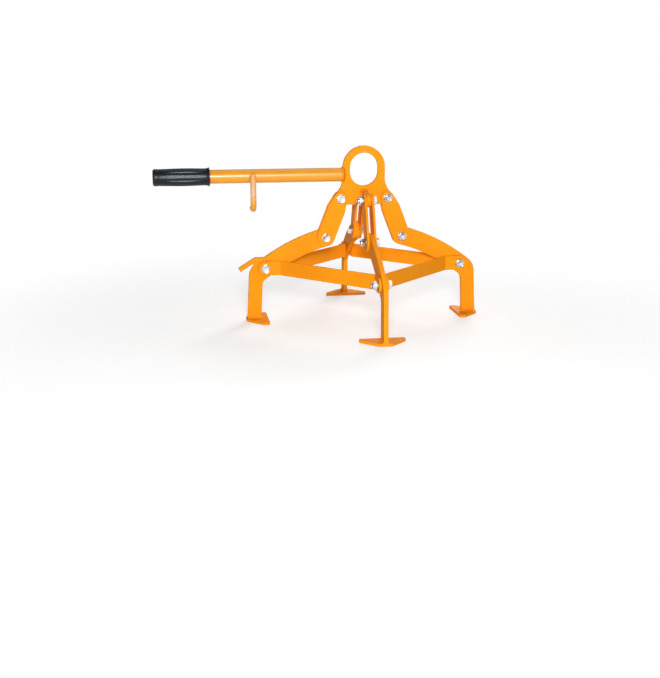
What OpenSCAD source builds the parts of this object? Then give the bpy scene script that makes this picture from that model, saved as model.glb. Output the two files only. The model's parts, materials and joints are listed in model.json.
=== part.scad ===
// Four-arm drum lifter: an eye plate hung from a hoist pulls on four pairs of links,
// the links swing four claw arms inward on a square frame, and a side handle with a
// latch hook holds the claws open. Millimetres, +Z up, the handle points to -X.
// The origin is the crown of the lifting eye, where the hoist bears.
// Each station (right, rear, left, front) is drawn along +X and turned into place.

/* [Lifting eye] */
// Width of the oblong eye
eye_w = 63; // [50:1:70]
// Height of the oblong eye
eye_h = 72; // [71:1:90]
// Metal left around the eye
eye_wall = 15.5; // [12:0.5:20]
// Thickness of the eye plate, the lugs and the arms
plate_t = 10; // [8:0.5:12]
// Radius of the ears around the upper link pivots
ear_r = 14.5; // [13:0.5:18]
// Radius of the waist between the eye and the ears
waist_r = 45; // [30:1:60]
// Height of a lug above its pivot where it meets the eye plate
lug_rise = 17; // [14:0.5:22]

/* [Pivots] */
// Drop from the crown of the eye to the upper link pivots
head_drop = 99; // [95:1:120]
// Distance of the upper link pivots from the axis
head_pivot_r = 52.5; // [50:0.5:60]
// Distance of the arms' inner pivots from the axis
arm_pivot_r = 86; // [78:1:95]
// Distance of the frame pivots from the axis
frame_pivot_r = 222; // [200:1:260]
// Height of the arms' inner pivots above the frame pivots
arm_rise = 66; // [55:1:75]

/* [Links] */
// Length of a link between its pivots
link_len = 92.5; // [85:0.5:110]
// Width of a link bar
link_w = 40; // [36:1:44]
// Radius of a link bar's narrow upper end
link_top_r = 14.5; // [13:0.5:18]
// Length over which a link bar widens below its upper pivot
link_shoulder = 24; // [18:1:40]
// Thickness of a link bar
link_t = 5; // [4:0.5:8]

/* [Arms] */
// Width of the bowed part of an arm
arm_w = 41; // [36:1:46]
// Radius of the bow through both pivots of an arm
arm_bow_r = 404; // [330:1:600]
// Width of a leg
leg_w = 31; // [24:1:36]
// Offset of a leg's inner edge outward from the frame pivot
leg_offset = 4.5; // [2:0.5:8]
// Drop from the frame pivots to the feet
leg_drop = 113.5; // [90:0.5:150]
// Outward lean of a leg, in degrees
leg_lean = 3; // [0:0.5:6]
// Outer radius of the elbow
elbow_r = 38; // [32:1:44]
// Inner radius of the elbow
elbow_inner_r = 15; // [8:1:20]
// Length of the slot that lets the inner bolt slide along the arm
slot_travel = 7.9; // [6:0.1:10]
// Clearance around the inner bolt in that slot
slot_gap = 0.95; // [0.8:0.05:1.5]

/* [Latch horn] */
// Height of the horn's shoulder above the frame pivot
horn_rise = 24; // [22:0.5:28]
// Distance from the frame pivot out to the horn's bend
horn_root = 20; // [18:0.5:26]
// Length of the horn beyond its bend
horn_len = 41.5; // [30:0.5:50]
// Depth of the horn
horn_h = 9.5; // [6:0.5:11]
// Slope of the horn below level, in degrees
horn_angle = 32; // [25:1:40]

/* [Feet] */
// Width of a foot across its gripping edge
foot_w = 98; // [80:1:110]
// Width of a foot's nose
foot_nose_w = 28; // [22:1:40]
// Gripping edge of a foot, inward from the leg's inner edge
foot_lip = 15.5; // [10:0.5:20]
// Nose of a foot, outward from the leg's outer edge
foot_heel = 2; // [1:0.5:10]
// Straight side of a foot beside its gripping edge
foot_side = 13; // [10:1:18]
// Thickness of a foot
foot_t = 6; // [5:0.5:10]
// Corner radius of a foot
foot_corner_r = 5; // [2:0.5:6]

/* [Frame] */
// Height of a frame bar
bar_h = 32; // [28:1:36]
// Thickness of a frame bar
bar_t = 5; // [4:0.5:6]
// Straight tab from the frame pivot inward to the bend
tab_len = 29; // [22:1:40]
// Bend radius along the middle of a frame bar
bend_r = 10; // [6:1:16]

/* [Handle] */
// Diameter of the handle tube
tube_d = 30; // [25:1:34]
// Wall of the handle tube
tube_wall = 2.5; // [2:0.25:4]
// Drop from the crown of the eye to the tube's axis
tube_drop = 47; // [40:1:52]
// Reach of the grip's closed end from the axis
handle_reach = 461.5; // [400:0.5:560]
// How far the slotted tube end laps onto the eye plate
tube_lap = 1; // [0.5:0.5:8]
// Length of the grip
grip_len = 122; // [100:1:140]
// Soft wall of the grip at its thickest
grip_wall = 4.2; // [3:0.1:6]
// Thickness of the grip's closed end
grip_cap = 5; // [3:0.5:8]
// Height of the grip's flange above its body
flange_h = 1.2; // [0.8:0.1:3]
// Thickness of the grip's flange
flange_t = 3; // [2:0.5:5]
// Length of the plain ring at the grip's closed end
grip_ring = 14; // [10:0.5:18]
// Half width of the groove before that ring, and length of the step behind the flange
grip_groove = 1; // [0.5:0.1:2]
// Plain length at each end of the flutes
grip_neck = 7; // [4:0.5:10]
// Number of flutes around the grip
flutes = 8; // [6:1:10]
// Depth of a flute in the middle
flute_depth = 0.9; // [0.5:0.1:1.2]
// Turn of the first flute from level, in degrees
flute_turn = 32; // [0:1:45]

/* [Latch hook] */
// Distance of the hook from the axis
hook_reach = 247; // [235:0.5:258]
// Diameter of the hook's rod
hook_d = 13; // [10:0.5:14]
// Lowest point of the hook below the tube's axis
hook_drop = 77; // [60:1:82]
// Top of the rod above the tube's axis
hook_top = 6.5; // [4:0.5:14]
// Bend radius along the middle of the rod
hook_bend_r = 13; // [10:0.5:18]
// Straight end of the hook after its bend
hook_tip = 16; // [8:1:24]
// Chamfer on the ends of the rod
hook_chamfer = 1.2; // [0.5:0.1:2.5]

/* [Fasteners] */
// Diameter of every pivot bolt
bolt_d = 10; // [8:0.5:12]
// Width across the flats of bolt heads and nuts
hex_af = 17; // [15:0.5:19]
// Height of a bolt head
bolt_head_h = 6.4; // [5:0.1:8]
// Height of a lock nut with its collar
nut_h = 10; // [9:0.1:12]
// Height of the round collar at the end of a lock nut
nut_collar_h = 2.6; // [1.5:0.1:4]
// Length of bolt that shows past the nut
bolt_end = 3; // [1:0.5:6]
// Chamfer at the bolt's end and on the hexagons
bolt_chamfer = 1; // [0.4:0.1:1.4]
// Diameter of a washer
washer_d = 20; // [19:0.5:24]
// Thickness of a washer
washer_t = 2; // [1:0.1:3]

/* [Clearances] */
// Radial running clearance of a bolt in its hole
pin_gap = 0.05; // [0.02:0.01:0.1]
// Side clearance between plates that move past each other
side_gap = 0.3; // [0.2:0.05:0.5]
// Gap between welded pieces that meet on a round face
weld_gap = 0.05; // [0.02:0.01:0.1]

/* [Hidden] */
$fn = 96;
paint = "darkorange";
zinc = "silver";
rubber = "dimgray";

// Turn of each station about the axis, a quarter turn after the one before
RIGHT = 0;
REAR = RIGHT + 90;
LEFT = REAR + 90;
FRONT = LEFT + 90;
STATIONS = [RIGHT, REAR, LEFT, FRONT];

// Play that cutting shapes run past the faces they cut
over = 1;
// Depth by which two rounds that meet smoothly run into each other
blend = 0.02;

// Heights, all measured down from the crown of the eye
head_z = -head_drop;
arm_z = head_z - sqrt(pow(link_len, 2) - pow(arm_pivot_r - head_pivot_r, 2));
frame_z = arm_z - arm_rise;
foot_z = frame_z - leg_drop;
tube_z = -tube_drop;
link_tilt = asin((arm_pivot_r - head_pivot_r) / link_len);

// Half stacks from the middle of the plate to the seats of bolt head and nut
hole_r = bolt_d / 2 + pin_gap;
plate_face = plate_t / 2 + side_gap;
head_grip = plate_face + link_t + side_gap + washer_t;
arm_grip = plate_face + link_t + washer_t;
frame_grip = plate_face + bar_t + washer_t;

// Eye plate
eye_r = eye_w / 2;
eye_out_r = eye_r + eye_wall;
eye_top_z = -eye_r;
eye_low_z = -eye_h + eye_r;
waist_x = eye_out_r + waist_r;
waist_z = head_z + sqrt(pow(waist_r + ear_r - blend, 2) - pow(waist_x - head_pivot_r, 2));

// Arm outline around the frame pivot, in the axes of the leaning leg: first number across the leg
// and outward, second number up along the leg
arm_pivot = turned([arm_pivot_r - frame_pivot_r, arm_rise], -leg_lean);
arm_chord = norm(arm_pivot);
arm_dir = arm_pivot / arm_chord;
bow_sink = sqrt(pow(arm_bow_r, 2) - pow(arm_chord / 2, 2));
bow_c = arm_pivot / 2 - bow_sink * [arm_dir[1], -arm_dir[0]];
bow_out_r = arm_bow_r + arm_w / 2;
bow_in_r = arm_bow_r - arm_w / 2;
leg_out = leg_offset + leg_w;
elbow_c = tangent_centre(leg_out - elbow_r, bow_out_r - elbow_r + blend);
inner_c = tangent_centre(leg_offset - elbow_inner_r, bow_in_r - elbow_inner_r + blend);
// Edges of a leg where it stands on its foot, outward from the frame pivot
leg_low_in = leg_offset / cos(leg_lean) + leg_drop * tan(leg_lean);
leg_low_out = leg_out / cos(leg_lean) + leg_drop * tan(leg_lean);

// Frame bars: middle of a tab beside the arm, turn of each bend (a bar takes a quarter turn in two
// equal bends), and the corner where tab and run would meet
bar_mid = plate_face + bar_t / 2;
bar_bend = (REAR - RIGHT) / 2;
bar_corner = frame_pivot_r - tab_len - bend_r * tan(bar_bend / 2);

// Handle
tube_r = tube_d / 2;
tube_end_x = -eye_out_r + tube_lap;
grip_r = tube_r + grip_wall;
hook_y = -(tube_r + hook_d / 2 + weld_gap);

// Facets of the long flat arcs that cut the flutes
flute_fn = 900;

// Centre of a circle at distance r from the bow's centre, with its own middle at x
function tangent_centre(x, r) = [x, bow_c[1] + sqrt(pow(r, 2) - pow(x - bow_c[0], 2))];
// Point at distance r from the bow's centre, in the direction of p
function bow_point(p, r) = bow_c + (p - bow_c) * r / norm(p - bow_c);
// Circumscribed radius of a hexagon
function hex_r(af) = af / 2 / cos(30);
function unit(v) = v / norm(v);
function turned(v, a) = [v[0] * cos(a) - v[1] * sin(a), v[0] * sin(a) + v[1] * cos(a)];
// Corner arc of a convex outline: centre and the two points where it leaves the edges
function corner_half(a, p, b) = acos(unit(a - p) * unit(b - p)) / 2;
function corner_centre(a, p, b, r) =
    p + unit(unit(a - p) + unit(b - p)) * r / sin(corner_half(a, p, b));
function corner_ends(a, p, b, r) =
    [for (q = [a, b]) p + unit(q - p) * r / tan(corner_half(a, p, b))];

module station(turn) {
    rotate([0, 0, turn]) children();
}

// Plate cut from an outline drawn in outward and up, centred on the station's plane
module upright(t) {
    rotate([90, 0, 0]) linear_extrude(t, center = true) children();
}

// Shape along +Z laid along +Y, at a pivot of the station's plane
module at_pivot(r, z) {
    translate([r, 0, z]) rotate([-90, 0, 0]) children();
}

// Hole through every plate of a pivot
module pivot_hole(r, z, reach) {
    at_pivot(r, z) cylinder(r = hole_r, h = 2 * reach, center = true);
}

module obround(len, w) {
    circle(d = w);
    translate([0, -w / 2]) square([len, w]);
    translate([len, 0]) circle(d = w);
}

// Convex outline with all corners rounded
module rounded(points, r) {
    n = len(points);
    ends = [for (i = [0:n - 1]) each corner_ends(
        points[(i + n - 1) % n], points[i], points[(i + 1) % n], r)];
    polygon(ends);
    for (i = [0:n - 1])
        translate(corner_centre(points[(i + n - 1) % n], points[i], points[(i + 1) % n], r)) circle(r);
}

// Hexagon with its corners turned off at both ends
module hexagon(h, chamfer_low, chamfer_top) {
    r = hex_r(hex_af);
    intersection() {
        cylinder(r = r, h = h, $fn = 6);
        rotate_extrude()
            polygon([
                [0, 0], [r - chamfer_low, 0], [r, chamfer_low / 2],
                [r, h - chamfer_top / 2], [r - chamfer_top, h], [0, h]
            ]);
    }
}

module bolt(grip) {
    tail = grip + nut_h + bolt_end;
    translate([0, 0, grip]) hexagon(bolt_head_h, 0, 2 * bolt_chamfer);
    translate([0, 0, bolt_chamfer - tail]) cylinder(d = bolt_d, h = tail + grip - bolt_chamfer);
    translate([0, 0, -tail]) cylinder(d1 = bolt_d - 2 * bolt_chamfer, d2 = bolt_d, h = bolt_chamfer);
}

module nut(grip) {
    hex_h = nut_h - nut_collar_h;
    translate([0, 0, -grip]) mirror([0, 0, 1]) difference() {
        union() {
            hexagon(hex_h, bolt_chamfer, 2 * bolt_chamfer);
            translate([0, 0, hex_h])
                cylinder(d1 = hex_af - bolt_chamfer, d2 = hex_af - 3 * bolt_chamfer, h = nut_collar_h);
        }
        translate([0, 0, -over]) cylinder(r = hole_r, h = nut_h + 2 * over);
    }
}

module washers(grip) {
    for (side = [0, 1]) mirror([0, 0, side]) translate([0, 0, grip - washer_t]) difference() {
        cylinder(d = washer_d, h = washer_t);
        translate([0, 0, -over]) cylinder(r = hole_r, h = washer_t + 2 * over);
    }
}

// Everything outside a circle, between two directions seen from its centre
module outside_arc(c, r, from_dir, to_dir) {
    reach = 3 * r;
    between_dir = unit(from_dir) + unit(to_dir);
    difference() {
        translate(c)
            polygon([[0, 0], reach * unit(from_dir), reach * unit(between_dir), reach * unit(to_dir)]);
        translate(c) circle(r);
    }
}

// Eye plate with its oblong eye and the left and right ears
module eye_outline() {
    side_x = head_pivot_r + ear_r;
    difference() {
        translate([-side_x, head_z - ear_r]) square([2 * side_x, eye_wall - head_z + ear_r]);
        for (flip = [0, 1]) mirror([flip, 0]) {
            outside_arc([0, eye_top_z], eye_out_r, [1, 0], [0, 1]);
            translate([eye_out_r, waist_z]) square([2 * waist_r, 2 * eye_out_r]);
            translate([waist_x, waist_z]) circle(waist_r);
            outside_arc([head_pivot_r, head_z], ear_r, [0, -1], [1, 0]);
            outside_arc([head_pivot_r, head_z], ear_r, [1, 0], [waist_x - head_pivot_r, waist_z - head_z]);
        }
        for (z = [eye_top_z, eye_low_z]) translate([0, z]) circle(eye_r);
        translate([-eye_r, eye_low_z]) square([eye_w, eye_top_z - eye_low_z]);
    }
}

module eye_plate() {
    color(paint) difference() {
        upright(plate_t) eye_outline();
        for (turn = [RIGHT, LEFT]) station(turn) pivot_hole(head_pivot_r, head_z, plate_t);
    }
}

// Lug welded square to the eye plate, with one ear
module lug(turn) {
    color(paint) station(turn) difference() {
        upright(plate_t) {
            translate([head_pivot_r, head_z]) circle(ear_r);
            polygon([
                [plate_t / 2, head_z - ear_r], [head_pivot_r, head_z - ear_r],
                [head_pivot_r, head_z + ear_r], [plate_t / 2, head_z + lug_rise]
            ]);
        }
        pivot_hole(head_pivot_r, head_z, plate_t);
    }
}

// Link bar along +X from its upper pivot, where a narrow round end widens over a shoulder to full width
module link_outline() {
    shoulder = [link_shoulder, link_w / 2];
    touch_r = link_top_r - blend;
    touch_turn = atan2(shoulder[1], shoulder[0]) + acos(touch_r / norm(shoulder));
    touch = touch_r * [cos(touch_turn), sin(touch_turn)];
    difference() {
        obround(link_len, link_w);
        for (flip = [0, 1]) mirror([0, flip]) {
            outside_arc([0, 0], link_top_r, touch, [-1, 0]);
            polygon([2 * touch - shoulder, shoulder, [link_shoulder, link_w], [-link_shoulder, link_w]]);
        }
    }
}

// Bar of a link pair, from the upper pivot down to the arm's inner pivot, beside the bolt heads
// or beside the nuts
module link_bar(turn, nut_side) {
    y = plate_face + link_t / 2;
    color(paint) station(turn) difference() {
        translate([0, nut_side ? -y : y, 0]) upright(link_t)
            translate([head_pivot_r, head_z]) rotate(link_tilt - 90) link_outline();
        pivot_hole(head_pivot_r, head_z, head_grip);
        pivot_hole(arm_pivot_r, arm_z, head_grip);
    }
}

// Space under the bow and inside the leg, with a rounded inner elbow
module arm_bay() {
    difference() {
        intersection() {
            translate(bow_c) circle(bow_in_r);
            translate([leg_offset - 2 * bow_out_r, -2 * bow_out_r]) square([2 * bow_out_r, 4 * bow_out_r]);
        }
        difference() {
            polygon([
                inner_c, [leg_offset + over, inner_c[1]], [leg_offset + over, inner_c[1] + elbow_inner_r * 2],
                bow_point(inner_c, bow_in_r + elbow_inner_r)
            ]);
            translate(inner_c) circle(elbow_inner_r);
        }
    }
}

module arm_outline() {
    difference() {
        intersection() {
            translate(bow_c) circle(bow_out_r);
            polygon([
                bow_c, bow_point(arm_pivot, 2 * bow_out_r), [leg_out, 2 * bow_out_r],
                [leg_out, -leg_drop - leg_w], [leg_offset, -leg_drop - leg_w]
            ]);
        }
        difference() {
            polygon([
                elbow_c, [leg_out + over, elbow_c[1]], [leg_out + over, elbow_c[1] + elbow_r * 2],
                bow_point(elbow_c, bow_out_r + elbow_r)
            ]);
            translate(elbow_c) circle(elbow_r);
        }
        arm_bay();
    }
    translate(arm_pivot) circle(arm_w / 2 + blend);
}

// Horn that the latch hook catches: a strip bent down over the elbow
module horn_outline() {
    bend = [horn_root, horn_rise - horn_h];
    translate([0, bend[1]]) square([horn_root, horn_h]);
    translate(bend) {
        circle(horn_h);
        rotate(-horn_angle) square([horn_len, horn_h]);
    }
}

module arm(turn) {
    color(paint) station(turn) translate([frame_pivot_r, 0, frame_z]) difference() {
        upright(plate_t) difference() {
            union() {
                rotate(leg_lean) arm_outline();
                children();
            }
            rotate(leg_lean) translate(arm_pivot) rotate(atan2(-arm_dir[1], -arm_dir[0]))
                obround(slot_travel, bolt_d + 2 * slot_gap);
            translate([0, -leg_drop - leg_w]) square([leg_low_out + leg_w, leg_w]);
        }
        pivot_hole(0, 0, plate_t);
    }
}

// Claw foot welded under a leg, with its gripping edge towards the axis
module foot(turn) {
    r_in = frame_pivot_r + leg_low_in - foot_lip;
    r_out = frame_pivot_r + leg_low_out + foot_heel;
    color(paint) station(turn) translate([0, 0, foot_z - foot_t]) linear_extrude(foot_t)
        rounded([
            [r_in, -foot_w / 2], [r_in + foot_side, -foot_w / 2], [r_out, -foot_nose_w / 2],
            [r_out, foot_nose_w / 2], [r_in + foot_side, foot_w / 2], [r_in, foot_w / 2]
        ], foot_corner_r);
}

// Ground on the outer side of one face of a frame bar, seen from above: the face follows
// the tab of one arm at distance d, the slanted run, and the tab of the next arm
module beyond_bar_face(d, bend) {
    corner = bar_corner + (d - bar_mid) * tan(bar_bend / 2);
    far = 2 * frame_pivot_r;
    rounded([[far, d], [far, far], [d, far], [d, corner], [corner, d]], bend);
}

module bar_plan() {
    tab_end = frame_pivot_r + bar_h / 2;
    intersection() {
        difference() {
            beyond_bar_face(bar_mid - bar_t / 2, bend_r + bar_t / 2);
            beyond_bar_face(bar_mid + bar_t / 2, bend_r - bar_t / 2);
        }
        square(tab_end);
    }
}

// Round end of a tab, cut about its bolt hole
module tab_end_cut() {
    translate([frame_pivot_r, 0, frame_z]) difference() {
        translate([0, 0, -bar_h]) cube([bar_h, plate_t + 2 * bar_t, 2 * bar_h]);
        rotate([-90, 0, 0]) translate([0, 0, -over]) cylinder(d = bar_h, h = 2 * (plate_t + 2 * bar_t));
    }
}

// Frame bar from the head side of one station to the nut side of the next
module frame_bar(turn) {
    color(paint) station(turn) difference() {
        translate([0, 0, frame_z - bar_h / 2]) linear_extrude(bar_h) bar_plan();
        for (flip = [0, 1]) mirror([flip, -flip, 0]) {
            tab_end_cut();
            pivot_hole(frame_pivot_r, frame_z, frame_grip);
        }
    }
}

// Tube with its end slotted over the eye plate
module handle_tube() {
    x_low = -handle_reach + grip_cap;
    color(paint) difference() {
        translate([x_low, 0, tube_z]) rotate([0, 90, 0]) difference() {
            cylinder(r = tube_r, h = tube_end_x - x_low);
            translate([0, 0, -over]) cylinder(r = tube_r - tube_wall, h = tube_end_x - x_low + 2 * over);
        }
        upright(plate_t) eye_outline();
    }
}

// Soft closed grip pushed over the tube, with a flange, a barrel body and long flutes
module handle_grip() {
    body_end = grip_len - grip_ring;
    flute_len = body_end - 2 * grip_neck;
    flute_r = (pow(flute_len / 2, 2) + pow(flute_depth, 2)) / (2 * flute_depth);
    color(rubber) translate([-handle_reach + grip_len, 0, tube_z]) rotate([0, -90, 0]) difference() {
        rotate_extrude() polygon([
            [0, 0], [grip_r + flange_h, 0], [grip_r + flange_h, flange_t],
            [grip_r - flange_h, flange_t + grip_groove], [grip_r, body_end / 2],
            [grip_r - flange_h / 2, body_end], [grip_r - flange_h, body_end + grip_groove],
            [grip_r - flange_h / 2, body_end + 2 * grip_groove], [grip_r - flange_h, grip_len - grip_cap],
            [grip_r - grip_cap, grip_len], [0, grip_len]
        ]);
        translate([0, 0, -over]) cylinder(r = tube_r, h = grip_len - grip_cap + over);
        for (i = [0:flutes - 1]) rotate([0, 0, flute_turn + i * 360 / flutes])
            translate([grip_r - flute_depth + flute_r, 0, (flange_t + body_end) / 2]) rotate([90, 0, 0])
                cylinder(r = flute_r, h = grip_r, center = true, $fn = flute_fn);
    }
}

// Bent rod welded to the front of the tube; its end points back under the horn
module latch_hook() {
    r = hook_d / 2;
    low_z = tube_z - hook_drop;
    bend_z = low_z + r + hook_bend_r;
    color(paint) translate([-hook_reach, hook_y, 0]) {
        translate([0, 0, bend_z]) cylinder(r = r, h = tube_z + hook_top - hook_chamfer - bend_z);
        translate([0, 0, tube_z + hook_top - hook_chamfer])
            cylinder(r1 = r, r2 = r - hook_chamfer, h = hook_chamfer);
        translate([0, hook_bend_r, bend_z]) rotate([0, 90, 0]) rotate([0, 0, -90])
            rotate_extrude(angle = 90) translate([hook_bend_r, 0]) circle(r);
        translate([0, hook_bend_r, low_z + r]) rotate([-90, 0, 0]) {
            cylinder(r = r, h = hook_tip - hook_chamfer);
            translate([0, 0, hook_tip - hook_chamfer])
                cylinder(r1 = r, r2 = r - hook_chamfer, h = hook_chamfer);
        }
    }
}

module head_bolts() {
    color(zinc) for (turn = STATIONS) station(turn) at_pivot(head_pivot_r, head_z) bolt(head_grip);
}
module head_nuts() {
    color(zinc) for (turn = STATIONS) station(turn) at_pivot(head_pivot_r, head_z) nut(head_grip);
}
module head_washers() {
    color(zinc) for (turn = STATIONS) station(turn) at_pivot(head_pivot_r, head_z) washers(head_grip);
}
module arm_bolt(turn) {
    color(zinc) station(turn) at_pivot(arm_pivot_r, arm_z) bolt(arm_grip);
}
module arm_nut(turn) {
    color(zinc) station(turn) at_pivot(arm_pivot_r, arm_z) nut(arm_grip);
}
module arm_washers(turn) {
    color(zinc) station(turn) at_pivot(arm_pivot_r, arm_z) washers(arm_grip);
}
module frame_bolts() {
    color(zinc) for (turn = STATIONS) station(turn) at_pivot(frame_pivot_r, frame_z) bolt(frame_grip);
}
module frame_nuts() {
    color(zinc) for (turn = STATIONS) station(turn) at_pivot(frame_pivot_r, frame_z) nut(frame_grip);
}
module frame_washers() {
    color(zinc) for (turn = STATIONS) station(turn) at_pivot(frame_pivot_r, frame_z) washers(frame_grip);
}

eye_plate();
lug(FRONT);  // front_lug
lug(REAR);  // rear_lug
handle_tube();
handle_grip();
latch_hook();
head_bolts();
head_nuts();
head_washers();
link_bar(RIGHT, nut_side = true);  // right_link_front_bar
link_bar(RIGHT, nut_side = false);  // right_link_rear_bar
arm_bolt(RIGHT);  // right_arm_bolt
arm_nut(RIGHT);  // right_arm_nut
arm_washers(RIGHT);  // right_arm_washers
link_bar(REAR, nut_side = true);  // rear_link_right_bar
link_bar(REAR, nut_side = false);  // rear_link_left_bar
arm_bolt(REAR);  // rear_arm_bolt
arm_nut(REAR);  // rear_arm_nut
arm_washers(REAR);  // rear_arm_washers
link_bar(LEFT, nut_side = true);  // left_link_rear_bar
link_bar(LEFT, nut_side = false);  // left_link_front_bar
arm_bolt(LEFT);  // left_arm_bolt
arm_nut(LEFT);  // left_arm_nut
arm_washers(LEFT);  // left_arm_washers
link_bar(FRONT, nut_side = true);  // front_link_left_bar
link_bar(FRONT, nut_side = false);  // front_link_right_bar
arm_bolt(FRONT);  // front_arm_bolt
arm_nut(FRONT);  // front_arm_nut
arm_washers(FRONT);  // front_arm_washers
arm(RIGHT);  // right_arm
arm(REAR);  // rear_arm
arm(LEFT) horn_outline();  // left_arm
arm(FRONT);  // front_arm
foot(RIGHT);  // right_foot
foot(REAR);  // rear_foot
foot(LEFT);  // left_foot
foot(FRONT);  // front_foot
frame_bar(RIGHT);  // right_rear_bar
frame_bar(REAR);  // rear_left_bar
frame_bar(LEFT);  // left_front_bar
frame_bar(FRONT);  // front_right_bar
frame_bolts();
frame_nuts();
frame_washers();
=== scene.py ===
import json
import math

import bpy
from mathutils import Matrix, Vector, noise
from mathutils.bvhtree import BVHTree


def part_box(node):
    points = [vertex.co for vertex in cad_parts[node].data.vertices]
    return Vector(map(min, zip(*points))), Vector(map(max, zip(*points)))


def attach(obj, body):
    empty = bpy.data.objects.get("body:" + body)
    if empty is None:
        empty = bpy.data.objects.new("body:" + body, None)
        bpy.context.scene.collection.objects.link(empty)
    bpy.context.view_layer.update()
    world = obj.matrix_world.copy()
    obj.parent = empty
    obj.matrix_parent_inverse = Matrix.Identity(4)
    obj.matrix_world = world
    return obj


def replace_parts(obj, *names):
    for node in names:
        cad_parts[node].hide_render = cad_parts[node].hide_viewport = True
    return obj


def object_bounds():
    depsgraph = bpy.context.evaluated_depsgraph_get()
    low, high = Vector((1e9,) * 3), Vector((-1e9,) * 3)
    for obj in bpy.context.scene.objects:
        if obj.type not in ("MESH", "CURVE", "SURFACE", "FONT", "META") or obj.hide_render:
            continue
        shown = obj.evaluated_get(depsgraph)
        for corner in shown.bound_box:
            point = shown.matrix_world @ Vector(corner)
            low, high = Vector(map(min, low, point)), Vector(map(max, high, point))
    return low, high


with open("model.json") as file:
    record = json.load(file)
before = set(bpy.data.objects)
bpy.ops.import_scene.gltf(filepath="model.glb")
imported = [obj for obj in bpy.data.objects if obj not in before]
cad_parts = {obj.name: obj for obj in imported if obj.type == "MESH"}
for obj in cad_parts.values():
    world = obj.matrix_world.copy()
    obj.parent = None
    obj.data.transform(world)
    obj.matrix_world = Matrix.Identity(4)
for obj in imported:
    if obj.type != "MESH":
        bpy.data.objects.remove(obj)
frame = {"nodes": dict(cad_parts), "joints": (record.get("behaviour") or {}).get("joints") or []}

# Looks of a four-arm drum lifter: painted plates, zinc fasteners, a soft grip and weld beads,
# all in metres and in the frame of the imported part.
MM = 0.001
CAD_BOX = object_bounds()
NODES = frame["nodes"]
JOINTS = {joint["name"]: joint for joint in frame["joints"]}

# Stations around the lifting axis, as turns in degrees from +X
STATIONS = {"right": 0, "rear": 90, "left": 180, "front": 270}

# Colours, linear
ORANGE = (0.97, 0.338, 0.008)
ORANGE_DEEP = (0.93, 0.303, 0.007)
TUBE_ORANGE = (0.85, 0.345, 0.008)
TUBE_DEEP = (0.80, 0.310, 0.007)
# Deep reddish orange of the welds, also the painted shade in corners and by the grip's flange
ORANGE_WELD_AND_SHADE = (0.62, 0.19, 0.006)
# Pale orange of the hook's band: worn paint with a painted highlight
ORANGE_CHALK_AND_HIGHLIGHT = (0.76, 0.50, 0.36)
# Dark grey of the painted shade and dirt in the zinc's corners
GRIME_AND_SHADE = (0.05, 0.045, 0.04)
BARE_STEEL = (0.40, 0.385, 0.37)
ZINC = (0.88, 0.89, 0.92)
ZINC_DULL = (0.62, 0.63, 0.66)
WASHER_PALE = (0.70, 0.48, 0.27)
WASHER_DARK = (0.50, 0.33, 0.18)
GRIP_BLACK = (0.006, 0.008, 0.012)
GRIP_DUSTY = (0.012, 0.014, 0.019)
GRIP_SHEEN = (0.86, 0.94, 1.0)
NYLON = (0.74, 0.75, 0.72)
FLOOR_PALE = (0.75, 0.75, 0.75)

# Finishes: roughness and specular level of the paint on plates, and on the tube and the hook
SATIN, SATIN_SHINE = 0.55, 0.06
GLOSSY, GLOSSY_SHINE = 0.34, 0.72
GRIP_SHINE = 0.28
GRIP_ROUGH_LOW, GRIP_ROUGH_HIGH = 0.34, 0.40
NYLON_ROUGH_LOW, NYLON_ROUGH_HIGH = 0.35, 0.5
ZINC_ROUGH = 0.17
WASHER_ROUGH = 0.42
PAINT_ROUGH_SPREAD = 0.04
ZINC_ROUGH_SPREAD = 0.06
RUBBED_ROUGHER = 0.12
PAINT_GRAIN_DEPTH = 0.003 * MM
ZINC_GRAIN_DEPTH = 0.03 * MM
GRIP_GRAIN_DEPTH = 0.04 * MM

# Painted shade and dirt beside close faces: how far off they count, and its share in the closest corners
PAINT_CORNER_SHADE_AND_DIRT = (5 * MM, 0.45)
ZINC_CORNER_SHADE_AND_DIRT = (3 * MM, 0.85)
CORNER_SHADE_SPAN = (0.25, 0.8)
CORNER_SHADE_SAMPLES = 6

# Noises of the finishes: features per metre, and levels of detail
PAINT_CLOUDS = (9, 2.0)
PAINT_GLOSS = (40, 2.0)
PAINT_GRAIN = (900, 2.0)
TINT_PATCHES = (120, 4.0)
RUB_SCRATCHES = (260, 5.0)
ZINC_CLOUDS = (160, 4.0)
ZINC_GLOSS = (420, 4.0)
ZINC_GRAIN = (1500, 3.0)
GRIP_DUST = (70, 6.0)
GRIP_GLOSS = (120, 4.0)
GRIP_GRAIN = (1400, 3.0)
NYLON_CLOUDS = (300, 3.0)
NYLON_GLOSS = (500, 2.0)

# Values between which a noise mostly stays, and the narrower ones that give harder patches
NOISE_SPAN = (0.3, 0.7)
TINT_SPAN = (0.3, 0.6)
SCRATCH_SPAN = (0.42, 0.60)
CLOUD_SPAN = (0.38, 0.66)
DUST_SPAN = (0.46, 0.72)

# Share of a tint in its weakest patches, and share of dust in its strongest
TINT_LEAST = 0.7
DUST_MOST = 0.8


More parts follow.
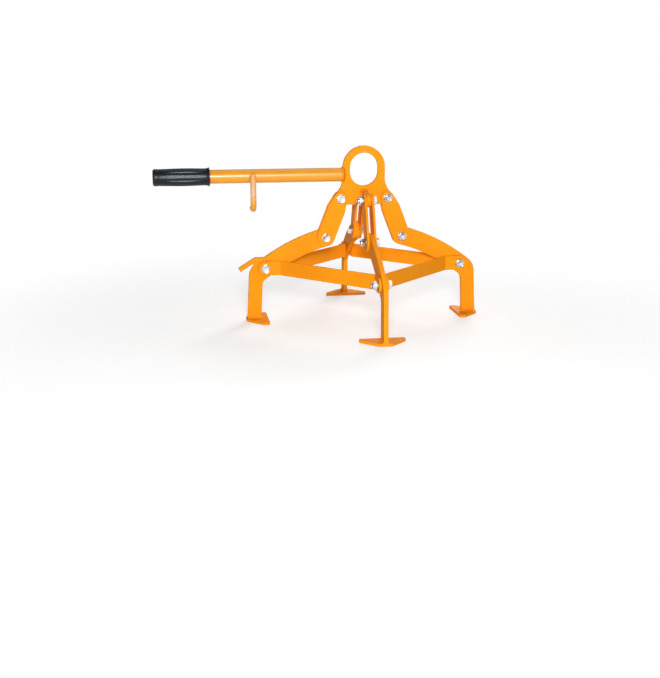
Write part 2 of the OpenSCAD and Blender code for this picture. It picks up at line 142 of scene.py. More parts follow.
class Nodes:
    """A node tree, with short calls to add nodes and join them."""

    def __init__(self, tree):
        self.tree = tree

    def add(self, kind, links=None, values=None, **settings):
        node = self.tree.nodes.new("ShaderNode" + kind)
        for key, value in settings.items():
            setattr(node, key, value)
        for key, value in (values or {}).items():
            node.inputs[key].default_value = value
        for key, output in (links or {}).items():
            self.tree.links.new(output, node.inputs[key])
        return node

    def remap(self, value, low, high, to_low=0.0, to_high=1.0, smooth=False):
        limits = {"From Min": low, "From Max": high, "To Min": to_low, "To Max": to_high}
        way = "SMOOTHSTEP" if smooth else "LINEAR"
        return self.add("MapRange", {"Value": value}, limits, interpolation_type=way).outputs[0]

    def math(self, operation, first, second):
        """One value from two, each a constant or an output."""
        node = self.add("Math", operation=operation)
        for socket, value in zip(node.inputs, (first, second)):
            if isinstance(value, (int, float)):
                socket.default_value = value
            else:
                self.tree.links.new(value, socket)
        return node.outputs[0]

    def distance(self, place, spot):
        return self.add("VectorMath", {0: place}, {1: spot}, operation="DISTANCE").outputs["Value"]


class Shader(Nodes):
    """Node tree of one material of the part."""

    def __init__(self, name):
        self.material = bpy.data.materials.new(name)
        self.material.use_nodes = True
        super().__init__(self.material.node_tree)
        self.surface = self.tree.nodes["Principled BSDF"]
        self.places = self.add("TexCoord").outputs["Object"]

    def join(self, output, socket):
        self.tree.links.new(output, self.surface.inputs[socket])

    def set(self, **values):
        for key, value in values.items():
            self.surface.inputs[key.replace("_", " ")].default_value = value

    def noise(self, kind):
        per_metre, detail = kind
        texture = self.add("TexNoise", {"Vector": self.places}, {"Scale": per_metre, "Detail": detail})
        return texture.outputs["Fac"]

    def varied(self, kind, low=0.0, high=1.0, span=NOISE_SPAN):
        """Noise stretched from its span to run from low to high."""
        return self.remap(self.noise(kind), *span, low, high)

    def mix(self, factor, first, second):
        """Colour between two colours, each a constant or an output."""
        node = self.add("Mix", {"Factor": factor}, data_type="RGBA")
        for key, colour in (("A", first), ("B", second)):
            socket = next(s for s in node.inputs if s.name == key and s.type == "RGBA")
            if isinstance(colour, tuple):
                socket.default_value = (*colour, 1.0)
            else:
                self.tree.links.new(colour, socket)
        return next(s for s in node.outputs if s.type == "RGBA")

    def grain(self, kind, depth):
        """Fine bumps of a given depth over the whole surface."""
        height = {"Height": self.noise(kind)}
        bump = self.add("Bump", height, {"Strength": 1.0, "Distance": depth})
        self.join(bump.outputs[0], "Normal")

    def corner_shade_and_dirt(self, reach, most):
        """Share of painted shade and dirt, up to the given most, where other faces stand close."""
        shade = self.add("AmbientOcclusion", values={"Distance": reach}, samples=CORNER_SHADE_SAMPLES)
        return self.remap(shade.outputs["AO"], *CORNER_SHADE_SPAN, most, 0.0)

    def rub(self, spot, radius, share):
        """A share at a spot, falling to 0 at a radius, broken up by fine scratches."""
        falloff = self.remap(self.distance(self.places, spot), radius, 0.0, 0.0, share)
        return self.math("MULTIPLY", falloff, self.varied(RUB_SCRATCHES, span=SCRATCH_SPAN))

    def band(self, axis, start, full, until):
        """0 at one place along an axis, rising to 1 at another and falling to 0 at a third."""
        along_axis = self.add("SeparateXYZ", {0: self.places}).outputs[axis]
        return self.math("MULTIPLY", self.remap(along_axis, start, full), self.remap(along_axis, until, full))


def powder_coat(name, rough, shine, rub=None, tint=None, bright=ORANGE, deep=ORANGE_DEEP):
    """Orange powder coat, with painted shade and dirt in its corners. A rub, which is a spot, a radius and a
    share, wears it towards bare steel. A tint, which is a colour, an axis, three places along it and a share,
    colours a band of it."""
    shader = Shader(name)
    tone = shader.mix(shader.varied(PAINT_CLOUDS), deep, bright)
    # Painted shade and dirt: deeper reddish orange where other faces stand close
    tone = shader.mix(shader.corner_shade_and_dirt(*PAINT_CORNER_SHADE_AND_DIRT), tone, ORANGE_WELD_AND_SHADE)
    if tint:
        colour, axis, start, full, until, share = tint
        patchy = shader.varied(TINT_PATCHES, TINT_LEAST * share, share, TINT_SPAN)
        tinted = shader.math("MULTIPLY", shader.band(axis, start, full, until), patchy)
        tone = shader.mix(tinted, tone, colour)
    gloss = shader.varied(PAINT_GLOSS, rough - PAINT_ROUGH_SPREAD, rough + PAINT_ROUGH_SPREAD)
    if rub:
        metal = shader.rub(*rub)
        tone = shader.mix(metal, tone, BARE_STEEL)
        gloss = shader.math("ADD", gloss, shader.math("MULTIPLY", metal, RUBBED_ROUGHER))
        shader.join(metal, "Metallic")
    shader.join(tone, "Base Color")
    shader.join(gloss, "Roughness")
    shader.grain(PAINT_GRAIN, PAINT_GRAIN_DEPTH)
    shader.set(Specular_IOR_Level=shine)
    return shader.material


def zinc_plate(name, bright, dull, rough):
    """Zinc with dull clouds, painted shade and dirt in its corners and fine turning marks."""
    shader = Shader(name)
    tone = shader.mix(shader.varied(ZINC_CLOUDS, span=CLOUD_SPAN), bright, dull)
    gloss = shader.varied(ZINC_GLOSS, rough - ZINC_ROUGH_SPREAD, rough + ZINC_ROUGH_SPREAD)
    # Painted shade and dirt: dark grey where other faces stand close
    shader.join(shader.mix(shader.corner_shade_and_dirt(*ZINC_CORNER_SHADE_AND_DIRT), tone, GRIME_AND_SHADE), "Base Color")
    shader.join(gloss, "Roughness")
    shader.grain(ZINC_GRAIN, ZINC_GRAIN_DEPTH)
    shader.set(Metallic=1.0)
    return shader.material


def soft_grip_vinyl(name):
    """Satin black vinyl with a fine grain and a trace of dust."""
    shader = Shader(name)
    dust = shader.varied(GRIP_DUST, 0.0, DUST_MOST, DUST_SPAN)
    shader.join(shader.mix(dust, GRIP_BLACK, GRIP_DUSTY), "Base Color")
    shader.join(shader.varied(GRIP_GLOSS, GRIP_ROUGH_LOW, GRIP_ROUGH_HIGH), "Roughness")
    shader.grain(GRIP_GRAIN, GRIP_GRAIN_DEPTH)
    shader.set(Specular_IOR_Level=GRIP_SHINE, Specular_Tint=(*GRIP_SHEEN, 1.0))
    return shader.material


def nylon(name):
    """Milky nylon of a lock nut's ring."""
    shader = Shader(name)
    shader.join(shader.mix(shader.noise(NYLON_CLOUDS), NYLON, ZINC_DULL), "Base Color")
    shader.join(shader.varied(NYLON_GLOSS, NYLON_ROUGH_LOW, NYLON_ROUGH_HIGH), "Roughness")
    return shader.material


class Shape:
    """Points and faces of one piece, gathered from several closed skins."""

    def __init__(self):
        self.points = []
        self.faces = []
        self.tints = []

    def add(self, surface, place=Matrix(), tint=0):
        points, faces = surface
        first = len(self.points)
        self.points += [place @ Vector(p) for p in points]
        self.faces += [[first + i for i in face] for face in faces]
        self.tints += [tint] * len(faces)

    def piece(self, name, body, slot, *materials, crease_deg=38):
        mesh = bpy.data.meshes.new(name)
        mesh.from_pydata(self.points, [], self.faces)
        for material in materials:
            mesh.materials.append(material)
        mesh.polygons.foreach_set("material_index", self.tints)
        mesh.polygons.foreach_set("use_smooth", [True] * len(self.faces))
        mesh.set_sharp_from_angle(angle=math.radians(crease_deg))
        mesh.update()
        made = bpy.data.objects.new(name, mesh)
        bpy.context.scene.collection.objects.link(made)
        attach(made, body)
        return made


def skin(rings, loop=False):
    """Points and faces through rings of equally many points: a capped tube, or a closed loop of rings."""
    count = len(rings[0])
    points = [p for ring in rings for p in ring]
    faces = []
    for row in range(len(rings) if loop else len(rings) - 1):
        here = row * count
        there = (row + 1) % len(rings) * count
        for i in range(count):
            j = (i + 1) % count
            faces.append([here + i, here + j, there + j, there + i])
    if not loop:
        faces.append(list(range(count))[::-1])
        faces.append(list(range(len(points) - count, len(points))))
    return points, faces


def ring(height, radius, count=72):
    """Points round the Z axis; the radius is a number or a function of the angle."""
    turns = [2 * math.pi * i / count for i in range(count)]
    reach = radius if callable(radius) else lambda turn: radius
    return [(reach(a) * math.cos(a), reach(a) * math.sin(a), height) for a in turns]


# Fasteners: thread and point of a bolt, hexagons as shares of their width across flats, lock nuts
BOLT_R = 5 * MM
BOLT_POINT = 1.2 * MM
THREAD_PITCH = 1.5 * MM
THREAD_DEPTH = 0.9 * MM
THREAD_SHOWN = 5 * MM
THREAD_STEP = THREAD_PITCH / 8
THREAD_ROOT = 1.35
THREAD_FLANK = 1.7
HEX_FACE = 0.475
HEX_SLOPE = math.tan(math.radians(30))
HEX_STEPS = 5
HEAD_DISH = 0.43
HEAD_DISH_RIM = 0.04
HEAD_DISH_DEPTH = 0.3 * MM
NUT_HEX_HEIGHT = 0.72
NUT_COLLAR = 0.445
NUT_COLLAR_STEP = 0.2 * MM
NUT_LIP = 0.9 * MM
NUT_LIP_BEND = math.radians(150)
NUT_LIP_STEPS = 6
NUT_THROAT = 1.6 * NUT_LIP
NUT_POCKET = 3 * NUT_LIP
NUT_GAP = 0.05 * MM

# How far from a pivot's axis the points of its fasteners lie
PIVOT_REACH = 25 * MM

# Turns of the heads and nuts in degrees: the first one's, and the step from each to the next
HEAD_TURN, HEAD_TURN_STEP = 17, 23
NUT_TURN, NUT_TURN_STEP = 9, 31


def hex_reach(flats, turn):
    """Radius of a hexagon of that width across its flats, at a turn from a corner."""
    return flats / 2 / math.cos(turn % (math.pi / 3) - math.pi / 6)


def hex_rings(flats, low, high, low_cut, high_cut):
    """Rings up a hexagon whose corners are turned off at the low end, the high end or both."""
    face_r = HEX_FACE * flats
    rise = (hex_reach(flats, 0) - face_r) * HEX_SLOPE
    steps = [rise * i / HEX_STEPS for i in range(HEX_STEPS + 1)]
    levels = [low + step for step in steps] if low_cut else [low]
    levels += [high - step for step in reversed(steps)] if high_cut else [high]

    def reach_at(z):
        low_r = face_r + (z - low) / HEX_SLOPE if low_cut else flats
        high_r = face_r + (high - z) / HEX_SLOPE if high_cut else flats
        return lambda turn: min(hex_reach(flats, turn), low_r, high_r)

    return [ring(z, reach_at(z)) for z in levels]


def thread_cut(z, turn):
    """Depth of a thread's groove, from 0 on its crest to 1 in its root."""
    phase = (z / THREAD_PITCH - turn / (2 * math.pi)) % 1
    return min(1.0, max(0.0, THREAD_ROOT - abs(2 * phase - 1) * THREAD_FLANK))


def bolt_skins(tail, seat, top, flats):
    """Hexagon bolt along +Z, from the end of its thread to the top of its dished head."""
    dish_r = HEAD_DISH * flats
    head = hex_rings(flats, seat, top, False, True)
    head.append(ring(top, (1 + HEAD_DISH_RIM) * dish_r))
    head.append(ring(top - HEAD_DISH_DEPTH, (1 - HEAD_DISH_RIM) * dish_r))

    def thread_at(z):
        cone_r = BOLT_R - BOLT_POINT + (z - tail)
        return lambda turn: min(cone_r, BOLT_R - THREAD_DEPTH * thread_cut(z, turn))

    levels = [tail + THREAD_STEP * i for i in range(int(THREAD_SHOWN / THREAD_STEP))]
    shank = [ring(z, thread_at(z)) for z in levels]
    shank += [ring(tail + THREAD_SHOWN + THREAD_STEP, BOLT_R), ring(seat + THREAD_STEP, BOLT_R)]
    return skin(head), skin(shank)


def nut_skins(height, flats):
    """Lock nut from its seat along +Z: hexagon with a rolled collar, and the nylon ring in the collar."""
    hex_h = NUT_HEX_HEIGHT * height
    collar_r = NUT_COLLAR * flats
    nylon_r = collar_r - NUT_THROAT
    bore = BOLT_R + NUT_GAP
    rings = hex_rings(flats, 0, hex_h, True, True)
    rings.append(ring(hex_h + NUT_COLLAR_STEP, collar_r))
    for i in range(NUT_LIP_STEPS + 1):
        bend = NUT_LIP_BEND * i / NUT_LIP_STEPS
        lip_z = height - NUT_LIP + NUT_LIP * math.sin(bend)
        rings.append(ring(lip_z, collar_r - NUT_LIP + NUT_LIP * math.cos(bend)))
    rings += [ring(height - NUT_THROAT, nylon_r), ring(height - NUT_POCKET, bore), ring(0, bore)]
    # Outline of the nylon ring: depth below the nut's end as a multiple of the lip, and radius
    outline = [
        (2.2, bore), (2.2, nylon_r + 0.1 * MM), (1.0, nylon_r + 0.1 * MM),
        (0.75, nylon_r - 0.4 * MM), (0.75, bore + 0.3 * MM), (1.1, bore),
    ]
    insert = [ring(height - depth * NUT_LIP, radius) for depth, radius in outline]
    return skin(rings, loop=True), skin(insert, loop=True)


def joint_place(name):
    return Vector(JOINTS[name]["pos_m"])


def pivot_place(station, pivot):
    """Matrix that lays +Z along a pivot of that station, heads first, with +X outward."""
    turn = math.radians(STATIONS[station])
    outward = Vector((math.cos(turn), math.sin(turn), 0))
    ahead = Vector((-math.sin(turn), math.cos(turn), 0))
    down = Vector((0, 0, -1))
    place = Matrix((outward, down, ahead)).transposed().to_4x4()
    place.translation = pivot - ahead * pivot.dot(ahead)
    return place


def extent(node, place):
    """Lowest and highest Z of a node's points around a pivot, in the pivot's own axes."""
    back = place.inverted()
    points = [back @ v.co for v in NODES[node].data.vertices]
    heights = [p.z for p in points if math.hypot(p.x, p.y) < PIVOT_REACH]
    return min(heights), max(heights)


def spin(degrees):
    return Matrix.Rotation(math.radians(degrees), 4, "Z")


def fasteners(nodes, body, pivots, zinc, white):
    """Bolts and lock nuts at the pivots of a body, in place of its bolt and nut nodes."""
    bolts = Shape()
    nuts = Shape()
    bolt_node, nut_node, washer_node = nodes
    nut_low, nut_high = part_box(nut_node)
    flats = (nut_high - nut_low).z
    for index, (station, pivot) in enumerate(pivots):
        place = pivot_place(station, pivot)
        tail, top = extent(bolt_node, place)
        nut_end, nut_seat = extent(nut_node, place)
        head_seat = extent(washer_node, place)[1]
        for made in bolt_skins(tail, head_seat, top, flats):
            bolts.add(made, place @ spin(HEAD_TURN + HEAD_TURN_STEP * index))
        turned = Matrix.Translation((0, 0, nut_seat)) @ Matrix.Rotation(math.pi, 4, "X")
        turned = turned @ spin(NUT_TURN + NUT_TURN_STEP * index)
        for tint, made in enumerate(nut_skins(nut_seat - nut_end, flats)):
            nuts.add(made, place @ turned, tint)
    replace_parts(bolts.piece(bolt_node + "_threaded", body, "zinc_steel", zinc), bolt_node)
    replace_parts(nuts.piece(nut_node + "_locking", body, "zinc_steel", zinc, white), nut_node)


# Grip, from its open end: flange, flare, barrel with flutes, groove, plain ring and round end
FLANGE_T = 3 * MM
FLANGE_H = 1.2 * MM
FLANGE_EDGE = 0.8 * MM
FLARE_LEN = 9 * MM
FLARE_H = 1.7 * MM
FLARE_CURVE = 2.5
BARREL_RISE = 1.25 * MM
BARREL_CURVE = 0.8
FLUTES = 8
FLUTE_TURN = math.radians(32)
FLUTE_DEPTH = 1.7 * MM
FLUTE_HALF = 0.27
FLUTE_START = 10 * MM
FLUTE_STOP = 21 * MM
GROOVE_LEN = 2.4 * MM
GROOVE_DEPTH = 0.55 * MM
GROOVE_RISE = 0.45 * MM
RING_LEN = 14 * MM
RING_INSET = 0.8 * MM
END_R = 5 * MM
END_STEPS = 8
END_DISH = 0.6 * MM
END_DISH_RIM = 2 * MM
GRIP_STEP = 1.0 * MM
GRIP_TURNS = 208


def grip_radius(t, length, r):
    """Outer radius of the grip, without its flutes, at a distance t from its open end."""
    barrel_end = length - RING_LEN
    if t < FLANGE_T:
        inset = max(0.0, FLANGE_EDGE - min(t, FLANGE_T - t))
        return r + FLANGE_H - FLANGE_EDGE + math.sqrt(max(0.0, FLANGE_EDGE ** 2 - inset ** 2))
    if t < barrel_end:
        share = (t - FLANGE_T) / (barrel_end - FLANGE_T)
        flare = max(0.0, 1 - (t - FLANGE_T) / FLARE_LEN) ** FLARE_CURVE
        swell = math.sin(math.pi * share) ** BARREL_CURVE
        return r - BARREL_RISE + BARREL_RISE * swell + FLARE_H * flare
    if t < barrel_end + GROOVE_LEN:
        share = (t - barrel_end) / GROOVE_LEN
        return r - BARREL_RISE + GROOVE_RISE * share - GROOVE_DEPTH * math.sin(math.pi * share)
    plain_r = r - RING_INSET
    if t > length - END_R:
        inset = t - (length - END_R)
        return plain_r - END_R + math.sqrt(max(0.0, END_R ** 2 - inset ** 2))
    return plain_r


def flute_cut(t, turn, length, r):
    """Depth cut from the barrel at a place on the grip: lens-shaped flutes, and flats between them."""
    stop = length - FLUTE_STOP
    if not FLUTE_START < t < stop:
        return 0.0
    swell = math.sin(math.pi * (t - FLUTE_START) / (stop - FLUTE_START))
    pitch = 2 * math.pi / FLUTES
    off = abs((turn - FLUTE_TURN + pitch / 2) % pitch - pitch / 2)
    half = FLUTE_HALF * pitch * math.sqrt(swell)
    if off < half:
        return FLUTE_DEPTH * swell * (1 - (off / half) ** 2)
    return r * swell * (math.cos(pitch / 2 - off) - math.cos(pitch / 2 - half))


def grip(vinyl):
    """Soft closed grip on the tube's end, in place of its plain solid."""
    low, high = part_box("handle_grip")
    tube_low, tube_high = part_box("handle_tube")
    length = (high - low).x
    body_r = (high - low).z / 2 - FLANGE_H
    tube_r = (tube_high - tube_low).z / 2
    steps = [i * GRIP_STEP for i in range(int(length / GRIP_STEP) - round(END_R / GRIP_STEP))]
    steps += [length - END_R * (1 - math.sin(math.pi / 2 * i / END_STEPS)) for i in range(END_STEPS + 1)]
    rings = [ring(0, tube_r, GRIP_TURNS)]
    for t in steps:
        reach = grip_radius(t, length, body_r)
        rings.append(ring(t, lambda a, t=t, reach=reach: reach - flute_cut(t, a, length, body_r), GRIP_TURNS))
    end_flat = body_r - RING_INSET - END_R
    rings.append(ring(length - END_DISH, end_flat - END_DISH_RIM, GRIP_TURNS))
    shape = Shape()
    place = Matrix.Translation((high.x, 0, (low.z + high.z) / 2)) @ Matrix.Rotation(-math.pi / 2, 4, "Y")
    shape.add(skin(rings), place)
    made = shape.piece("handle_grip_fluted", "head", "black_grip", vinyl, crease_deg=50)
    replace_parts(made, "handle_grip")


# Weld beads: fineness, ripples, slow changes of width and tapered ends
BEAD_STEP = 0.45 * MM
BEAD_SIDES = 14
BEAD_EASING = 6
RIPPLE_LEN = 1.9 * MM
RIPPLE_DEPTH = 0.10
DRIFT_PER_METRE = 220
DRIFT_DEPTH = 0.16
TIP_SIZE = 0.06
TIP_LEN = 1.2

# Beads at the lugs, the hook and the feet: radius, and how far the middle stands off its corner
LUG_BEAD_R = 2.8 * MM
LUG_BEAD_OFF = 0.6 * MM
LUG_BEAD_FOOT = 9 * MM
HOOK_BEAD_R = 2.2 * MM
HOOK_BEAD_OFF = 1.0 * MM
HOOK_BEAD_SIDE = 0.78
HOOK_BEAD_TOP = 2 * MM
HOOK_BEAD_STEP = 1.5 * MM
HOOK_BEAD_POINTS = 9
FOOT_BEAD_R = 2.3 * MM
FOOT_BEAD_OFF = 0.5 * MM
FOOT_BEAD_BACK = 1.0 * MM
FOOT_FACE_FUZZ = 0.5 * MM
FILLET_STEPS = 10


def eased_route(points):
    """Places a step apart along a chain of straight lines, with its corners rounded and its ends kept."""
    places = []
    for a, b in zip(points, points[1:]):
        count = max(1, round((b - a).length / BEAD_STEP))
        places += [a.lerp(b, i / count) for i in range(count)]
    places.append(points[-1])
    for _ in range(BEAD_EASING):
        inner = [(a + 2 * b + c) / 4 for a, b, c in zip(places, places[1:], places[2:])]
        places = [places[0]] + inner + [places[-1]]
    return places


def bead(points, radius):
    """Skin of a rippled weld bead along a chain of points, with tapered ends."""
    places = eased_route([Vector(p) for p in points])
    last = len(places) - 1
    turns = [2 * math.pi * k / BEAD_SIDES for k in range(BEAD_SIDES)]
    rings = []
    side = None
    travel = 0.0
    for i, here in enumerate(places):
        ahead = places[min(i + 1, last)] - places[max(i - 1, 0)]
        ahead.normalize()
        if side is None:
            side = ahead.orthogonal().normalized()
        side = (side - ahead * side.dot(ahead)).normalized()
        other = ahead.cross(side)
        travel += (here - places[i - 1]).length if i else 0.0
        ripple = RIPPLE_DEPTH * abs(math.sin(math.pi * travel / RIPPLE_LEN)) - RIPPLE_DEPTH / 2
        drift = DRIFT_DEPTH * noise.noise(here * DRIFT_PER_METRE)
        to_end = min(i, last - i) * BEAD_STEP
        taper = math.sqrt(min(1.0, TIP_SIZE + to_end / (TIP_LEN * radius)))
        reach = radius * (1 + ripple + drift) * taper
        rings.append([here + (side * math.cos(a) + other * math.sin(a)) * reach for a in turns])
    return skin(rings)


def lug_weld(name, out, paint):
    """Bead over a lug where it meets the eye plate: up one side, across the top and down the other."""
    low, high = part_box(name)
    face = high.y if out < 0 else low.y
    y = face + out * LUG_BEAD_OFF
    x = high.x + LUG_BEAD_OFF
    foot = low.z + LUG_BEAD_FOOT
    shape = Shape()
    shape.add(bead([(-x, y, foot), (-x, y, high.z), (x, y, high.z), (x, y, foot)], LUG_BEAD_R))
    shape.piece(name + "_weld", "head", "orange_paint", paint)


def hook_weld(paint):
    """Beads down both sides of the hook's rod where it lies on the tube."""
    low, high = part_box("latch_hook")
    tube_low, tube_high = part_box("handle_tube")
    rod_r = (high.x - low.x) / 2
    x = (high.x + low.x) / 2
    mid = (tube_low.z + tube_high.z) / 2
    r = (tube_high.z - tube_low.z) / 2
    heights = [high.z - HOOK_BEAD_TOP - HOOK_BEAD_STEP * i for i in range(HOOK_BEAD_POINTS)]
    depths = [-math.sqrt(r ** 2 - (z - mid) ** 2) - HOOK_BEAD_OFF for z in heights]
    shape = Shape()
    for side in (-1, 1):
        beside = x + side * HOOK_BEAD_SIDE * rod_r
        shape.add(bead([(beside, y, z) for y, z in zip(depths, heights)], HOOK_BEAD_R))
    shape.piece("hook_weld", "head", "orange_paint", paint)


def foot_weld(station, paint):
    """Bead round the leg where it stands on its foot, kept back from the foot's outer end."""
    arm = NODES[station + "_arm"]
    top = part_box(station + "_foot")[1].z
    place = pivot_place(station, joint_place(station + "_arm_swing"))
    back = place.inverted()
    base = [back @ v.co for v in arm.data.vertices if abs(v.co.z - top) < FOOT_FACE_FUZZ]
    x0 = min(p.x for p in base) - FOOT_BEAD_OFF
    x1 = max(p.x for p in base) - FOOT_BEAD_BACK
    z0 = min(p.z for p in base) - FOOT_BEAD_OFF
    z1 = max(p.z for p in base) + FOOT_BEAD_OFF
    y = base[0].y - FOOT_BEAD_OFF
    middle = (x0 + x1) / 2
    route = [(middle, y, z0), (x1, y, z0), (x1, y, z1), (x0, y, z1), (x0, y, z0), (middle, y, z0)]
    shape = Shape()
    shape.add(bead(route, FOOT_BEAD_R), place)
    shape.piece(station + "_foot_weld", station + "_arm", "orange_paint", paint)


def bezier(a, b, c, d):
    """Points along a cubic curve from a to d that leans towards b and c."""
    shares = [i / FILLET_STEPS for i in range(FILLET_STEPS + 1)]
    return [
        a * (1 - t) ** 3 + b * 3 * t * (1 - t) ** 2 + c * 3 * t ** 2 * (1 - t) + d * t ** 3 for t in shares
    ]


def grown(size, share):
    """A share of the way along a size given as its start and its change."""
    start, change = size
    return start + change * share


class TubeFillet:
    """Sections of the weld round the tube's end, from the tube to the faces and the edge of the eye plate."""
    LEG = 6 * MM
    DEEP = 1 * MM
    FACE_REACH = 5 * MM
    FACE_STEPS = 90
    EDGE_STEPS = 20
    UNEVEN = 0.9 * MM
    UNEVEN_PER_METRE = 160
    RIPPLE = 0.3 * MM
    RIPPLE_PER_METRE = 700
    RIM_RATE = 3

    # Sizes at the plate's edge, and their change up to the middle of its face: where the weld starts on the
    # tube, and how far back and out the two points stand that its surface leans towards
    START_BACK = (6 * MM, -2 * MM)
    FIRST_BACK = (1 * MM, -4 * MM)
    FIRST_OUT = (1 * MM, 2.5 * MM)
    SECOND_BACK = (1 * MM, -2.8 * MM)
    SECOND_OUT = (0.8 * MM, 0.7 * MM)

    def __init__(self):
        low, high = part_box("handle_tube")
        plate = NODES["eye_plate"].data
        self.outline = BVHTree.FromPolygons(
            [v.co for v in plate.vertices], [p.vertices for p in plate.polygons])
        self.start = low.x
        self.end = high.x
        self.r = (high.z - low.z) / 2
        self.mid = (high.z + low.z) / 2
        self.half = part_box("eye_plate")[1].y
        self.lean = math.acos(self.half / self.r)

    def edge_x(self, z):
        """Where the plate's edge is at a height."""
        return self.outline.ray_cast(Vector((self.start, 0, z)), Vector((1, 0, 0)))[0].x

    def section(self, start, first, second, end, inner):
        """Closed outline: the weld's own surface, and a way back inside the tube and the plate."""
        uneven = self.UNEVEN * noise.noise(end * self.UNEVEN_PER_METRE)
        ripple = self.RIPPLE * noise.noise(end * self.RIPPLE_PER_METRE)
        start = start - Vector((uneven, 0, 0))
        end = end + (end - second).normalized() * uneven
        swell = (first - inner[1]).normalized() * ripple
        return bezier(start, first + swell, second + swell, end) + inner

    def on_face(self, side, share):
        """Section on one face of the plate, at a share of the way from its top to its bottom."""
        a = self.lean * (1 - 2 * share)
        turn = math.pi * (0.5 - share)
        rise = (self.r * math.cos(a) - self.half) / (self.r - self.half)
        radial = Vector((0, side * math.cos(a), math.sin(a)))
        top, bottom = [self.edge_x(self.mid + up * (self.r + self.LEG)) for up in (1, -1)]
        reach = self.end + self.FACE_REACH - (top + bottom) / 2
        z = self.mid + self.r * math.sin(a)
        rim = min(1.0, self.RIM_RATE * rise)
        rim_x = self.edge_x(z) * (1 - rim) + self.end * rim
        axis = Vector((0, 0, self.mid))
        start = axis + Vector((self.end - grown(self.START_BACK, rise), 0, 0)) + radial * self.r
        first_r = self.r + grown(self.FIRST_OUT, rise)
        first = axis + Vector((rim_x - grown(self.FIRST_BACK, rise), 0, 0)) + radial * first_r
        second_y = side * (self.half + grown(self.SECOND_OUT, rise))
        second = Vector((rim_x - grown(self.SECOND_BACK, rise), second_y, z))
        across = top * (1 - share) + bottom * share + reach * math.cos(turn)
        end = Vector((across, side * self.half, self.mid + (self.r + self.LEG) * math.sin(turn)))
        sunk = side * (self.half - self.DEEP)
        inner = [
            Vector((end.x, sunk, end.z)), Vector((self.end + self.DEEP, sunk, z)), start - radial * self.DEEP
        ]
        return self.section(start, first, second, end, inner)

    def on_edge(self, up, y):
        """Section on the plate's edge above or below the tube."""
        z = self.mid + up * math.sqrt(self.r ** 2 - y ** 2)
        tall = self.mid + up * (self.r + self.LEG)
        corner = self.edge_x(self.mid + up * self.r)
        start = Vector((self.end - self.START_BACK[0], y, z))
        guide = Vector((corner - self.FIRST_BACK[0], y, z + up * self.FIRST_OUT[0]))
        end = Vector((self.edge_x(tall), y, tall))
        deep = Vector((self.DEEP, 0, 0))
        low = Vector((0, 0, up * self.DEEP))
        inner = [end + deep, Vector((corner, y, z)) + deep - low, start - low]
        return self.section(start, guide, guide, end, inner)

    def loop(self):
        """Closed skin: up the front face, over the top edge, down the rear face and under the tube."""
        shares = [i / self.FACE_STEPS for i in range(self.FACE_STEPS)]
        across = [self.half * (2 * i / self.EDGE_STEPS - 1) for i in range(self.EDGE_STEPS)]
        rings = [self.on_face(-1, 1 - share) for share in shares]
        rings += [self.on_edge(1, y) for y in across]
        rings += [self.on_face(1, share) for share in shares]
        rings += [self.on_edge(-1, -y) for y in across]
        return skin(rings, loop=True)


def tube_weld(paint):
    """Weld all round the tube's end on the eye plate."""
    shape = Shape()
    shape.add(TubeFillet().loop())
    shape.piece("tube_weld", "head", "orange_paint", paint)


# Softened edges: widths, fineness, and the angles below which faces count as flat or as smooth
PLATE_EDGE = 0.6 * MM
WASHER_EDGE = 0.25 * MM
EDGE_SEGMENTS = 2
SAME_POINT = 0.002 * MM
FLAT_DEG = 0.3
SMOOTH_DEG = 40


def soften(thing, width):
    """Rounds the cut edges of a CAD node without touching its mesh."""
    thing.modifiers.new("weld", "WELD").merge_threshold = SAME_POINT
    flat = thing.modifiers.new("flat", "DECIMATE")
    flat.decimate_type = "DISSOLVE"
    flat.angle_limit = math.radians(FLAT_DEG)
    edge = thing.modifiers.new("edge", "BEVEL")
    edge.width = width
    edge.segments = EDGE_SEGMENTS
    edge.limit_method = "ANGLE"
    edge.angle_limit = math.radians(SMOOTH_DEG)
    edge.loop_slide = False
    thing.modifiers.new("normals", "WEIGHTED_NORMAL").keep_sharp = False


# Paint of each group of pieces, with the places that use has rubbed, a band of painted shade and dirt on the
# tube by the grip, and a band of worn paint and painted highlight on the hook
PAINT = powder_coat("orange_powder_coat", SATIN, SATIN_SHINE)
WELD_PAINT = powder_coat("orange_weld", SATIN, SATIN_SHINE, bright=ORANGE_DEEP, deep=ORANGE_WELD_AND_SHADE)
EYE_RUB = ((0, 0, 0), 11 * MM, 0.5)
EYE_PAINT = powder_coat("orange_rubbed_eye", SATIN, SATIN_SHINE, EYE_RUB)
FLANGE_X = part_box("handle_grip")[1].x
# Painted shade and dirt: a deeper reddish band on the tube next to the grip's flange
FLANGE_SHADE_AND_DIRT = (ORANGE_WELD_AND_SHADE, "X", FLANGE_X - 4 * MM, FLANGE_X, FLANGE_X + 6 * MM, 0.8)
TUBE_PAINT = powder_coat(
    "orange_glossy_tube", GLOSSY, GLOSSY_SHINE, None, FLANGE_SHADE_AND_DIRT, TUBE_ORANGE, TUBE_DEEP)
HOOK_LOW, HOOK_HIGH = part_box("latch_hook")
HOOK_RUB = ((HOOK_HIGH.x - 6 * MM, HOOK_HIGH.y, HOOK_LOW.z + 8 * MM), 18 * MM, 0.8)
